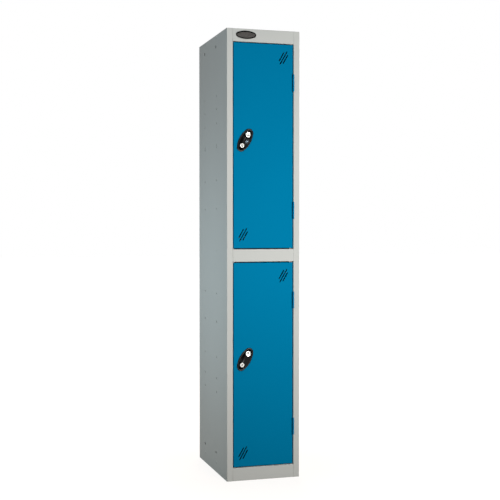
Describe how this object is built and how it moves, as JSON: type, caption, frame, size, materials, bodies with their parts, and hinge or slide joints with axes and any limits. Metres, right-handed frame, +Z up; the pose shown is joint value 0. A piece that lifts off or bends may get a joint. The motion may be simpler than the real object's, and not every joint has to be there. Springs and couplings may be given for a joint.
{
  "type": "school locker",
  "caption": "Tall narrow steel school locker with stacked flush doors on side hinges, oval lock plates with cam locks, slanted air vents and coat hooks inside.",
  "frame": {"origin": "middle of the foot, on the floor", "axes": "+X to the right as seen from the front, front towards -Y, +Z up"},
  "size_m": [0.3018, 0.456, 1.7809],
  "materials": {
    "frame_paint": "light grey powder coat, fine orange peel",
    "door_paint": "mid blue powder coat, fine orange peel",
    "lock_plastic": "black moulded plastic",
    "badge_plastic": "black moulded plastic with a dark grey sunk middle, bare",
    "disc_metal": "bright satin disc",
    "lock_metal": "bright plated die casting",
    "zinc_steel": "zinc plated steel",
    "buffer_rubber": "black rubber"
  },
  "bodies": {
    "carcass": {"left_side_panel": "frame_paint", "right_side_panel": "frame_paint", "left_front_post": "frame_paint", "right_front_post": "frame_paint", "back_panel": "frame_paint", "top_panel": "frame_paint", "mid_shelf": "frame_paint", "base_panel": "frame_paint", "badge_plate": "badge_plastic", "carcass_rivets": "frame_paint", "upper_coat_hook": "zinc_steel", "lower_coat_hook": "zinc_steel", "hook_rivets": "zinc_steel", "door_buffers": "buffer_rubber", "upper_door_top_frame_leaf": "door_paint", "upper_door_top_pin": "door_paint", "upper_door_bottom_frame_leaf": "door_paint", "upper_door_bottom_pin": "door_paint", "lower_door_top_frame_leaf": "door_paint", "lower_door_top_pin": "door_paint", "lower_door_bottom_frame_leaf": "door_paint", "lower_door_bottom_pin": "door_paint"},
    "upper_door": {"upper_door_panel": "door_paint", "upper_door_stiffener": "door_paint", "upper_lock_plate": "lock_plastic", "upper_number_disc": "disc_metal", "upper_lock_barrel": "lock_metal", "upper_lock_nut": "zinc_steel", "upper_door_top_door_leaf": "door_paint", "upper_door_bottom_door_leaf": "door_paint"},
    "upper_lock_plug": {"upper_lock_plug": "lock_metal", "upper_lock_cam": "zinc_steel", "upper_cam_screw": "zinc_steel"},
    "lower_door": {"lower_door_panel": "door_paint", "lower_door_stiffener": "door_paint", "lower_lock_plate": "lock_plastic", "lower_number_disc": "disc_metal", "lower_lock_barrel": "lock_metal", "lower_lock_nut": "zinc_steel", "lower_door_top_door_leaf": "door_paint", "lower_door_bottom_door_leaf": "door_paint"},
    "lower_lock_plug": {"lower_lock_plug": "lock_metal", "lower_lock_cam": "zinc_steel", "lower_cam_screw": "zinc_steel"}
  },
  "joints": [
    {"name": "lower_door_hinge", "type": "hinge", "parent": "carcass", "child": "lower_door", "pos_m": [0.1244, -0.228, 0.45877], "axis": [0, 0, 1], "range_deg": [0, 170]},
    {"name": "lower_lock_turn", "type": "hinge", "parent": "lower_door", "child": "lower_lock_plug", "pos_m": [-0.0888, -0.225, 0.4588], "axis": [0, 1, 0], "range_deg": [0, 90]},
    {"name": "upper_door_hinge", "type": "hinge", "parent": "carcass", "child": "upper_door", "pos_m": [0.1244, -0.228, 1.32242], "axis": [0, 0, 1], "range_deg": [0, 170]},
    {"name": "upper_lock_turn", "type": "hinge", "parent": "upper_door", "child": "upper_lock_plug", "pos_m": [-0.0888, -0.225, 1.32245], "axis": [0, 1, 0], "range_deg": [0, 90]}
  ]
}
